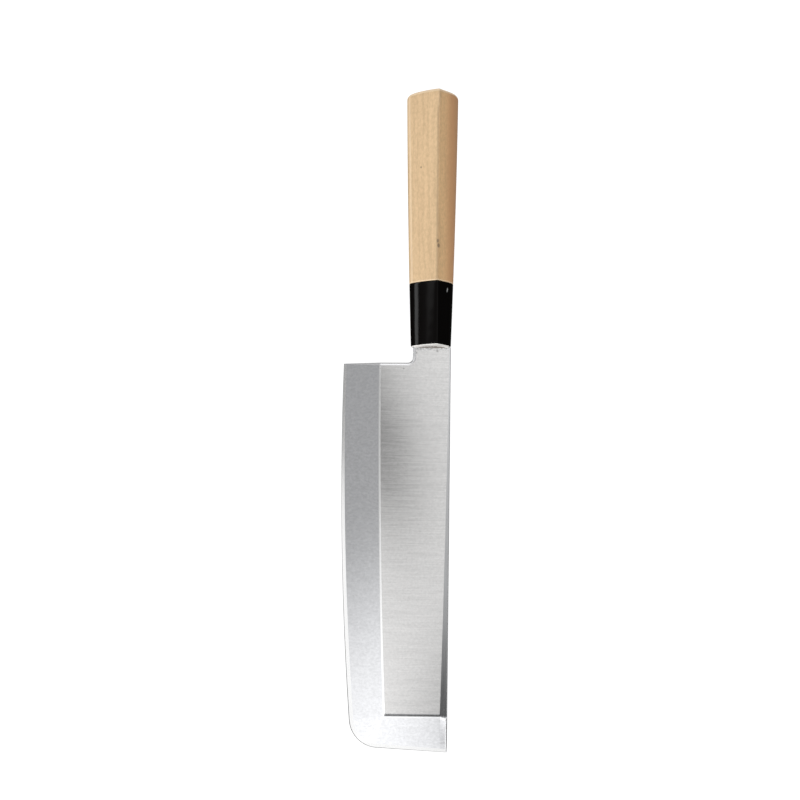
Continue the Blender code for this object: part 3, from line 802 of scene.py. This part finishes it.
class Value:
    """A shader socket that takes part in arithmetic, one Math node for each sign."""

    def __init__(self, tree, socket):
        self.tree = tree
        self.socket = socket

    def math(self, operation, *others):
        """A Math node of this value and the others."""
        values = dict(enumerate([self, *others]))
        return self.tree.node("ShaderNodeMath", {"operation": operation}, values)[0]

    def __add__(self, other):
        return self.math("ADD", other)

    def __sub__(self, other):
        return self.math("SUBTRACT", other)

    def __rsub__(self, other):
        return (self * -1) + other

    def __mul__(self, other):
        return self.math("MULTIPLY", other)

    def __truediv__(self, other):
        return self.math("DIVIDE", other)

    def __pow__(self, other):
        return self.math("POWER", other)

    def __abs__(self):
        return self.math("ABSOLUTE")

    __radd__ = __add__
    __rmul__ = __mul__

    def low(self, other):
        """The lesser of this value and another."""
        return self.math("MINIMUM", other)

    def high(self, other):
        """The greater of this value and another."""
        return self.math("MAXIMUM", other)

    def rise(self, start, end):
        """A smooth step from 0 at start to 1 at end, which may run either way."""
        low, high = min(start, end), max(start, end)
        settings = {"interpolation_type": "SMOOTHSTEP"}
        values = {"Value": self, "From Min": low, "From Max": high}
        step = self.tree.node("ShaderNodeMapRange", settings, values)[0]
        return step if start < end else 1 - step


class Tree:
    """Makes nodes in a material's or the world's tree."""

    def __init__(self, owner):
        owner.use_nodes = True
        self.nodes = owner.node_tree.nodes
        self.links = owner.node_tree.links

    def node(self, kind, settings, values):
        """Makes a node of a kind, with its settings first, and returns its outputs as values."""
        made = self.nodes.new(kind)
        for name, setting in settings.items():
            setattr(made, name, setting)
        for key, value in values.items():
            self.put(made.inputs[key], value)
        return [Value(self, socket) for socket in made.outputs]

    def put(self, socket, value):
        """Links a value to a socket, or sets the socket to a plain number or colour."""
        if isinstance(value, Value):
            self.links.new(value.socket, socket)
        else:
            socket.default_value = value

    def place(self, place):
        """X, Y and Z of the surface in the knife's axes, and the whole vector."""
        point = self.node("ShaderNodeTexCoord", {}, {})[3]
        turned = place.inverted()
        values = {0: point, 1: turned.translation[:], 2: turned.to_euler()[:]}
        vector = self.node("ShaderNodeMapping", {"vector_type": "POINT"}, values)[0]
        return [*self.node("ShaderNodeSeparateXYZ", {}, {0: vector}), vector]

    def blend(self, share, first, second):
        """A colour between two, at a share of 0 to 1."""
        values = {0: share, 6: opaque(first), 7: opaque(second)}
        return self.node("ShaderNodeMix", {"data_type": "RGBA"}, values)[2]


def opaque(colour):
    """A colour with its alpha, or a link as it is."""
    return colour if isinstance(colour, Value) else (*colour[:3], 1.0)


def tinted(colour, strength):
    """A colour with each part times a strength."""
    return [part * strength for part in colour]


def apart(across, along):
    """How far apart two places are that lie so far across and along from each other."""
    return (across ** 2.0 + along ** 2.0) ** 0.5


class Look(Tree):
    """A material with one Principled shader."""

    def __init__(self, name, place, **constants):
        self.material = bpy.data.materials.new(name)
        super().__init__(self.material)
        self.shader = self.nodes["Principled BSDF"]
        self.x, self.y, self.z, self.vector = self.place(place)
        for socket, value in constants.items():
            self.shader.inputs[socket.replace("_", " ")].default_value = value

    def noise(self, vector, scale, detail, roughness):
        """A noise of about 0 to 1 at a vector."""
        values = {"Vector": vector, "Scale": scale, "Detail": detail, "Roughness": roughness}
        return self.node("ShaderNodeTexNoise", {}, values)[0]

    def mottle(self, scale, detail=3.0, roughness=0.6):
        """A noise of about 0 to 1 that is alike in all directions."""
        return self.noise(self.vector, scale, detail, roughness)

    def grain(self, scales, detail=3.0, roughness=0.6):
        """A noise of about 0 to 1 with a scale for each axis, which draws it out into lines."""
        values = {0: self.vector, 1: scales}
        vector = self.node("ShaderNodeVectorMath", {"operation": "MULTIPLY"}, values)[0]
        return self.noise(vector, 1.0, detail, roughness)

    def shades(self, share, colour, low, high):
        """A colour between two strengths of one, at a share of 0 to 1."""
        return self.blend(share, tinted(colour, low), tinted(colour, high))

    def wear(self, **values):
        """Links what varies over the surface to the shader's sockets."""
        for name, value in values.items():
            self.put(self.shader.inputs[name.replace("_", " ")], value)
        return self.material

    def bump(self, height, distance, strength=1.0):
        """Tilts the surface by a height in metres."""
        values = {"Height": height, "Distance": distance, "Strength": strength}
        normal = self.node("ShaderNodeBump", {}, values)[0]
        self.put(self.shader.inputs["Normal"], normal)


# Finishes of the steel

# Small stains on the flat and the neck, each with its x, y and radius
STAINS = (
    (0.0036, 0.0067, 0.0011), (-0.0079, 0.0056, 0.0008), (-0.0148, -0.0034, 0.0007),
    (-0.0074, 0.0079, 0.0010), (-0.0056, 0.0078, 0.0010), (0.0086, 0.0082, 0.0008),
)


def steel_flat(b, place):
    """Satin flat, brushed straight across the blade, with stains, glue smudges and painted shade by the
    handle.
    """
    look = Look("steel_flat", place, Metallic=1.0)
    lines = look.grain((60, 1500, 60))
    bands = look.grain((18, 210, 18), roughness=0.55)
    mottle = look.mottle(700.0, detail=2.0)
    shade = (lines * 0.45 + bands * 0.20 + mottle * 0.35).rise(0.30, 0.70)
    colour = look.shades(shade, b.flat_colour, 0.90, 1.10)
    # Dark patches over the neck's last 3 mm by the ferrule: partly glue smudges, partly painted shade and
    # reflection of the black ferrule; the stains below join them
    smudge_and_shade = look.mottle(1100.0, roughness=0.65).rise(0.46, 0.66)
    smudge_and_shade = smudge_and_shade * look.y.rise(b.neck_length - 0.0032, b.neck_length - 0.0002)
    for x, y, radius in STAINS:
        stain = apart(look.x - x, look.y - y).rise(radius, radius * 0.2)
        smudge_and_shade = smudge_and_shade.high(stain * 0.9)
    colour = look.blend(smudge_and_shade * 0.6, colour, tinted(b.flat_colour, 0.25))
    look.bump(lines * 0.7 + bands * 0.3, 0.000003)
    return look.wear(Base_Color=colour, Roughness=0.08 + 0.05 * lines)


def steel_bevel(b, place):
    """Finely ground bevel with a soft mottle."""
    look = Look("steel_bevel", place, Metallic=1.0)
    lines = look.grain((500, 900, 300))
    shade = (lines * 0.5 + look.mottle(700.0) * 0.5).rise(0.30, 0.70)
    look.bump(lines, 0.000002)
    colour = look.shades(shade, b.bevel_colour, 0.92, 1.08)
    return look.wear(Base_Color=colour, Roughness=0.10 + 0.04 * lines)


def steel_polish(b, place):
    """Polished micro bevel and ridge."""
    look = Look("steel_polish", place, Metallic=1.0)
    lines = look.grain((900, 200, 300), detail=2.0, roughness=0.5)
    colour = look.shades(lines, b.polish_colour, 0.96, 1.0)
    return look.wear(Base_Color=colour, Roughness=0.11 + 0.05 * lines)


def brushed(name, place, scales, colour, tints, roughness, height=0.0):
    """Steel with lines of one kind, which take its colour from one strength to another.

    roughness is that between the lines and what the lines add to it.
    """
    look = Look(name, place, Metallic=1.0)
    lines = look.grain(scales)
    if height:
        look.bump(lines, height)
    base, more = roughness
    return look.wear(Base_Color=look.shades(lines, colour, *tints), Roughness=base + more * lines)


def steel_relief(b, place):
    """Relief by the spine, brushed lengthwise."""
    return brushed("steel_relief", place, (1500, 60, 60), b.relief_colour, (0.85, 1.15), (0.08, 0.05))


def steel_side(b, place):
    """Belt-ground spine, heel and neck, with lines along the edge of the steel."""
    tints, roughness, height = (0.86, 1.1), (0.24, 0.10), 0.000003
    return brushed("steel_side", place, (60, 60, 2600), b.back_colour, tints, roughness, height)


def steel_rim(b, place):
    """Flat rim of the back, honed on a stone lengthwise."""
    return brushed("steel_rim", place, (2200, 50, 60), b.back_colour, (1.05, 1.25), (0.18, 0.08))


def steel_hollow(b, place):
    """Hollow of the back, ground across with a wheel."""
    look = Look("steel_hollow", place, Metallic=1.0)
    lines = look.grain((40, 1300, 60))
    bands = look.grain((10, 160, 18), roughness=0.55)
    look.bump(lines * 0.7 + bands * 0.3, 0.000004)
    colour = look.shades(lines * 0.6 + bands * 0.4, b.back_colour, 0.84, 1.08)
    return look.wear(Base_Color=colour, Roughness=0.28 + 0.12 * lines)


def steel_tang(place):
    """Dull tang, left as forged."""
    look = Look("steel_tang", place, Metallic=0.9)
    mottle = look.mottle(500.0, detail=4.0)
    colour = look.blend(mottle, (0.16, 0.15, 0.14), (0.30, 0.29, 0.28))
    return look.wear(Base_Color=colour, Roughness=0.45 + 0.15 * mottle)


# Finishes of the handle

# Middle of the growth rings, and how far their wave turns in a metre, in radians
RINGS_X, RINGS_Z, RINGS_TURN = -0.085, -0.050, 1500.0
# Flecks on the wood, each with its x, y and radius across
FLECKS = ((0.0032, 0.0672, 0.0009), (0.0036, 0.0646, 0.0010), (-0.0064, 0.1105, 0.0005))
# The painted glint on the ferrule: its x and y, and how much it leans and is drawn out along the handle
GLINT_X, GLINT_Y, GLINT_LEAN, GLINT_SQUASH = 0.0088, 0.0405, 0.12, 0.28


def wood_look(name, b, h, place, end_grain):
    """Pale hardwood cut along the grain.

    Growth rings are cylinders about a far line along the handle, so the sides show long lines and
    the butt shows arcs. Fine fibres and short pores run lengthwise, or dot the end grain. The
    flank towards the spine has a warmer tint of painted shade, and begins with a darker strip of
    painted shade just short of the ridge. The far side under the spine is darker and redder with
    painted shade, and a dark line of painted shade runs along the outline on the edge's side. The
    rims, the crest and a line by the edge's side are paler.
    """
    look = Look(name, place)
    _, joint, butt = stations(b, h)

    # Grain
    wander = look.grain((60, 12, 60), roughness=0.5) - 0.5
    across = look.x - RINGS_X + wander * 0.016
    depth = look.z - RINGS_Z + wander * 0.009
    radius = (across * across + depth * depth) ** 0.5
    late = ((radius * RINGS_TURN).math("SINE") * 0.5 + 0.5).rise(0.35, 1.0)
    fibre = look.grain((900, 900, 900) if end_grain else (2400, 70, 2400), roughness=0.65)
    streak = look.grain((330, 20, 330))
    blotch = look.grain((900, 450, 900), roughness=0.65)
    grain = (late * 0.12 + fibre * 0.42 + streak * 0.40 + blotch * 0.95 - 0.43).rise(0.18, 0.82)
    pores_at = (1300, 1300, 1300) if end_grain else (3000, 260, 3000)
    pores = look.grain(pores_at, detail=1.0, roughness=0.5).rise(0.70, 0.78)

    # Colours, with the border between the two flanks bent a little at the butt
    upper = look.z.rise(0.006, 0.009)
    border = look.x - look.y.rise(butt - 0.016, butt - 0.006) * 0.0012
    colour = look.blend(grain, h.wood_light, h.wood_dark)
    # The flank towards the spine takes a warmer tint of painted shade
    flank = look.blend(grain, h.wood_shaded_flank, tinted(h.wood_shaded_flank, 0.75))
    colour = look.blend(border.rise(0.0022, 0.0036) * look.z.rise(-0.004, 0.003), colour, flank)
    colour = look.blend(pores * 0.35, colour, tinted(h.wood_dark, 0.55))
    # The far side under the spine turns darker and redder: painted shade
    colour = look.blend(look.x.rise(0.0055, 0.0120) * 0.9, colour, h.wood_shaded_side)

    # Paler marks and painted shade, where side is how far in a point is from the outline on the edge's side
    crest = abs(look.x - h.ridge_offset).rise(0.0011, 0.0003) * upper
    rims = look.y.rise(joint + 0.0008, joint + 0.0003) + look.y.rise(butt - 0.0026, butt - 0.0016)
    slope = (h.butt_width - h.front_width) / 2 / (butt - joint + h.ferrule_length)
    side = look.x + (look.y - joint + h.ferrule_length) * slope + h.front_width / 2 + h.swell
    # A paler line 1.9 mm in from the outline on the edge's side
    pale_line = abs(side - 0.0019).rise(0.0008, 0.0002)
    colour = look.blend((crest * 0.04 + rims * 0.7 + pale_line * 0.40).low(0.8), colour, h.wood_pale)
    # A darker strip of painted shade just short of the ridge
    strip = border.rise(0.0019, 0.0029) * look.x.rise(h.ridge_offset + 0.0002, h.ridge_offset - 0.0001)
    # Painted shade: a dark line along the outline on the edge's side and a darker far side under the spine
    painted_shade = side.rise(0.0011, 0.0005) * 0.45 + look.x.rise(h.front_width / 2, h.butt_width / 2) * 0.20
    painted_shade = painted_shade + strip * upper * 0.50
    colour = look.blend(painted_shade, colour, tinted(h.wood_dark, 0.5))
    for x, y, radius in FLECKS:
        fleck = apart(look.x - x, (look.y - y) * 0.6).rise(radius, radius * 0.4)
        colour = look.blend(fleck * 0.85, colour, tinted(h.wood_dark, 0.35))
    if end_grain:
        colour = look.blend(0.25, colour, tinted(h.wood_dark, 0.8))
    look.bump(fibre * 0.7 - pores * 0.5 + late * 0.1, 0.00004, 0.6)
    return look.wear(Base_Color=colour, Roughness=0.50 + 0.14 * fibre)


def ferrule_look(h, place):
    """Polished black moulding, a little wavy, with fine hairlines and one small painted glint."""
    look = Look("ferrule_black", place, Specular_IOR_Level=0.11)
    wave = look.grain((90, 55, 90), detail=2.0, roughness=0.5)
    hair = look.grain((2600, 120, 2600), detail=2.0)
    colour = look.shades(hair, h.ferrule_colour, 0.8, 1.4)
    # A small pale mark on the right flank near the wood: a painted glint
    along = look.y - GLINT_Y
    off = apart(look.x - GLINT_X - along * GLINT_LEAN, along * GLINT_SQUASH)
    painted_glint = off.rise(0.0005, 0.0001) * look.z.rise(0.001, 0.002)
    colour = look.blend(painted_glint, colour, (0.28, 0.28, 0.28))
    look.bump(wave + hair * 0.01, 0.00012, 0.8)
    return look.wear(Base_Color=colour, Roughness=0.08 + 0.04 * hair)


def bead_look(b, h, place):
    """Pale resin with a ragged brown line of glue and painted shadow, which sags to both sides, and a grey
    foot.

    The line lies by how far a point is down the face and out along the neck.
    """
    look = Look("bead_resin", place)
    front = stations(b, h)[0] - h.fit - h.film
    patches = look.mottle(900.0)
    drop = (front - look.y) + (b.heel_thickness - look.z) * 0.2
    sag = ((look.x - 0.001) / 0.0085) ** 2.0
    past = drop - sag * 0.00065 - (patches - 0.5) * 0.0009
    # The ragged brown band where the bead turns onto the neck: partly a glue line, partly painted shadow
    colour = look.blend(past.rise(-0.00015, 0.00005), h.bead_colour, h.bead_stain_and_shadow)
    colour = look.blend(past.rise(0.00045, 0.00065) * 0.9, colour, h.bead_foot)
    look.bump(patches, 0.00008, 0.7)
    return look.wear(Base_Color=colour, Roughness=0.35 + 0.2 * patches)


def resin_look(h, place):
    """Set resin round the tang."""
    look = Look("resin", place)
    patches = look.mottle(300.0)
    colour = look.shades(patches, h.resin_colour, 0.8, 1.1)
    return look.wear(Base_Color=colour, Roughness=0.4 + 0.2 * patches)


# Operators, one for each piece

class KNIFE_OT_blade(bpy.types.Operator):
    """Build the blade with its bevels, relief, hollow back and tang"""

    bl_idname = "knife.blade"
    bl_label = "Blade"

    def execute(self, context):
        b = context.scene.knife_blade
        place = to_frame(b)
        polish = steel_polish(b, place)
        relief = steel_relief(b, place)
        looks = {
            FLAT: steel_flat(b, place), BEVEL: steel_bevel(b, place), POLISH: polish, RIDGE: polish,
            LINE: relief, RELIEF: relief, SIDE: steel_side(b, place), RIM: steel_rim(b, place),
            HOLLOW: steel_hollow(b, place), TANG: steel_tang(place),
        }
        piece = blade_skin(b).piece("blade_steel", [looks[i] for i in range(len(looks))], place)
        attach(piece, "root")
        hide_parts("blade")
        return {"FINISHED"}


class KNIFE_OT_grip(bpy.types.Operator):
    """Build the wooden grip with its tenon and the tang's channel"""

    bl_idname = "knife.grip"
    bl_label = "Grip"

    def execute(self, context):
        b, h = context.scene.knife_blade, context.scene.knife_handle
        place = to_frame(b)
        looks = [wood_look("wood_side", b, h, place, False), wood_look("wood_end", b, h, place, True)]
        piece = grip_skin(b, h).piece("grip_wood", looks, place)
        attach(piece, "root")
        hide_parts("grip")
        return {"FINISHED"}


class KNIFE_OT_ferrule(bpy.types.Operator):
    """Build the black ferrule as a hollow cup with a slot for the tang"""

    bl_idname = "knife.ferrule"
    bl_label = "Ferrule"

    def execute(self, context):
        b, h = context.scene.knife_blade, context.scene.knife_handle
        place = to_frame(b)
        piece = ferrule_skin(b, h).piece("ferrule_shell", [ferrule_look(h, place)], place)
        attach(piece, "root")
        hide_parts("ferrule")
        return {"FINISHED"}


class KNIFE_OT_resin(bpy.types.Operator):
    """Build the bead at the ferrule's mouth and finish the resin round the tang"""

    bl_idname = "knife.resin"
    bl_label = "Resin"

    def execute(self, context):
        b, h = context.scene.knife_blade, context.scene.knife_handle
        place = to_frame(b)
        piece = bead_skin(b, h).piece("bead_resin", [bead_look(b, h, place)], place)
        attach(piece, "root")
        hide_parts("mouth_bead")
        tang_resin = frame["nodes"]["tang_resin"]
        tang_resin.data.materials.clear()
        tang_resin.data.materials.append(resin_look(h, place))
        return {"FINISHED"}


class KNIFE_OT_stage(bpy.types.Operator):
    """Build the white floor, the soft light and the camera"""

    bl_idname = "knife.stage"
    bl_label = "Stage"

    def execute(self, context):
        settings = context.scene.knife_stage
        place = to_frame(context.scene.knife_blade)
        self.floor(settings)
        self.sky(context)
        self.lamps(context)
        self.camera(context, settings, place)
        context.scene.view_settings.view_transform = "Standard"
        return {"FINISHED"}

    def floor(self, s):
        """A flat square under the knife, that glows enough to show no shadow."""
        half = s.floor_size / 2
        mesh = bpy.data.meshes.new("floor")
        corners = [(-half, -half, 0), (half, -half, 0), (half, half, 0), (-half, half, 0)]
        mesh.from_pydata(corners, [], [(0, 1, 2, 3)])
        floor = bpy.data.objects.new("floor", mesh)
        bpy.context.scene.collection.objects.link(floor)
        material = bpy.data.materials.new("floor_pale")
        material.use_nodes = True
        shader = material.node_tree.nodes["Principled BSDF"]
        shader.inputs["Base Color"].default_value = (*s.floor_colour, 1.0)
        shader.inputs["Roughness"].default_value = 0.9
        shader.inputs["Specular IOR Level"].default_value = 0.0
        shader.inputs["Emission Color"].default_value = (1.0, 1.0, 1.0, 1.0)
        shader.inputs["Emission Strength"].default_value = 1.0
        mesh.materials.append(material)
        floor.visible_glossy = False

    def sky(self, context):
        """A soft dome seen from the knife: brightest over the tip, dim low down and to the right.

        side and ahead are the slopes of a ray from the zenith towards +X and towards +Y. Rays
        that mirror off the flat lie about the zenith, those of the wide bevel to its left, and
        those of the micro bevel farther left.
        """
        world = bpy.data.worlds.new("soft_dome")
        context.scene.world = world
        tree = Tree(world)
        ray = tree.node("ShaderNodeTexCoord", {}, {})[0]
        x, y, z = tree.node("ShaderNodeSeparateXYZ", {}, {0: ray})
        side, ahead = x / z.high(0.05), y / z.high(0.05)

        def patch(ahead_span, side_span):
            """From 0 to 1 as both slopes pass from the first number of their spans to the second."""
            return ahead.rise(*ahead_span) * side.rise(*side_span)

        # About the zenith
        flats = 1.03 + 0.24 * patch((0.03, -0.06), (0.04, -0.02))
        shade = 0.40 * patch((0.14, 0.08), (0.05, 0.13))
        shade = shade + 0.54 * patch((0.02, -0.06), (-0.02, 0.07))
        band = abs(ahead + side * 1.6 - 0.083).rise(0.070, 0.012)
        gap = band * side.rise(0.026, -0.012) * side.rise(-0.18, -0.08)
        flats = flats + 0.16 * patch((-0.02, -0.05), (0.01, -0.01))
        flats = flats - gap * 0.95 - shade * 0.90
        flats = flats - 0.07 * patch((-0.03, -0.05), (0.0, 0.04))
        line = patch((-0.08, -0.11), (-0.06, -0.02)) * side.rise(0.12, 0.08)
        flats = flats * (1 - line * 0.95)
        over_tip = ahead.rise(-0.17, -0.23)
        bend = patch((-0.275, -0.255), (-0.05, -0.02)) * side.rise(0.08, 0.05)
        facet = 1.68 + 0.7 * bend - 1.0 * side.rise(-0.005, 0.045)
        facet = facet + 0.4 * side.rise(0.05, 0.08) + 1.6 * side.rise(0.105, 0.160)
        flats = flats * (1 - over_tip) + over_tip * facet
        flats = flats + 0.75 * ahead.rise(0.20, 0.27)

        # To its left and farther left
        bevels = 0.53 + 1.06 * ahead.rise(0.068, -0.085)
        polish = 0.34 + 0.72 * ahead.rise(0.145, 0.098)
        left, far_left = side.rise(-0.05, -0.20), side.rise(-0.42, -0.55)
        glow = flats * (1 - left) + bevels * left
        glow = glow * (1 - far_left) + polish * far_left
        between = side.rise(-0.03, -0.07) * side.rise(-0.24, -0.19)
        butt_dimming = 0.27 * ahead.rise(0.03, 0.09) * between
        tip_dimming = 0.3 * ahead.rise(-0.50, -0.62)
        glow = glow * (1 - butt_dimming) * (1 - tip_dimming)
        necks = (side - ahead * 0.5).rise(-0.88, -1.0) * ahead.rise(0.19, 0.24)
        glow = glow * (1 - necks) + necks * 1.6
        butt_side = patch((0.30, 0.45), (-0.40, -0.25))
        glow = glow + butt_side * 0.45

        # Low down, past the window that holds all of the above
        window = side.rise(-1.3, -1.0) * side.rise(0.9, 0.45) * ahead.rise(-1.0, -0.72)
        window = window * ahead.rise(1.5, 1.0)
        far_left, far_right = x.rise(-0.78, -0.92), x.rise(0.1, 0.6)
        dim = (0.34 - 0.31 * far_right) * z.rise(-0.05, 0.10) * (1 - 0.8 * far_left) + 0.08
        strength = window * glow + (1 - window) * dim
        background = tree.nodes["Background"]
        background.inputs["Color"].default_value = (1.0, 1.0, 1.0, 1.0)
        tree.put(background.inputs["Strength"], strength)

    def lamps(self, context):
        """Two soft panels: a main one that isn't mirrored, a narrow one for the ferrule's streak."""
        for name, at, size, power in (
            ("key_panel", (-0.75, -1.10, 1.15), (1.1, 1.1), 15.0),
            ("streak_panel", (-1.10, 0.235, 0.41), (0.6, 0.2), 2.00),
        ):
            light = bpy.data.lights.new(name, "AREA")
            light.shape = "RECTANGLE"
            light.size, light.size_y = size
            light.energy = power
            lamp = bpy.data.objects.new(name, light)
            lamp.location = at
            lamp.rotation_euler = (-Vector(at)).to_track_quat("-Z", "Y").to_euler()
            lamp.visible_glossy = name == "streak_panel"
            context.scene.collection.objects.link(lamp)

    def camera(self, context, s, place):
        """A camera given in the knife's axes: over the tip, leaning back towards the handle."""
        lens = bpy.data.cameras.new("camera")
        lens.lens = s.camera_lens
        lens.sensor_width = 36.0
        lens.clip_start = 0.01
        camera = bpy.data.objects.new("camera", lens)
        context.scene.collection.objects.link(camera)
        at = Matrix.Translation((s.camera_side, s.camera_along, s.camera_height))
        turn = Matrix.Rotation(s.camera_tilt, 4, "X") @ Matrix.Rotation(s.camera_roll, 4, "Z")
        camera.matrix_world = place @ at @ turn
        context.scene.camera = camera


class KNIFE_PT_panel(bpy.types.Panel):
    """Sidebar panel that lists the knife's pieces and settings"""

    bl_idname = "KNIFE_PT_panel"
    bl_label = "Sashimi Knife"
    bl_space_type = "VIEW_3D"
    bl_region_type = "UI"
    bl_category = "Knife"

    def draw(self, context):
        for operator in OPERATORS:
            self.layout.operator(operator.bl_idname)
        for group in SETTINGS:
            box = self.layout.box()
            box.label(text=group.removeprefix("knife_").title())
            settings = getattr(context.scene, group)
            for name in settings.__annotations__:
                box.prop(settings, name)


SETTINGS = {"knife_blade": BladeSettings, "knife_handle": HandleSettings, "knife_stage": StageSettings}
OPERATORS = (KNIFE_OT_blade, KNIFE_OT_grip, KNIFE_OT_ferrule, KNIFE_OT_resin, KNIFE_OT_stage)


def register():
    for group in (*SETTINGS.values(), *OPERATORS, KNIFE_PT_panel):
        bpy.utils.register_class(group)
    for name, group in SETTINGS.items():
        setattr(bpy.types.Scene, name, bpy.props.PointerProperty(type=group))


def unregister():
    for name in SETTINGS:
        delattr(bpy.types.Scene, name)
    for group in reversed((*SETTINGS.values(), *OPERATORS, KNIFE_PT_panel)):
        bpy.utils.unregister_class(group)


def main():
    register()
    bpy.ops.knife.stage()
    bpy.ops.knife.blade()
    bpy.ops.knife.grip()
    bpy.ops.knife.ferrule()
    bpy.ops.knife.resin()


if __name__ == "__main__":
    main()
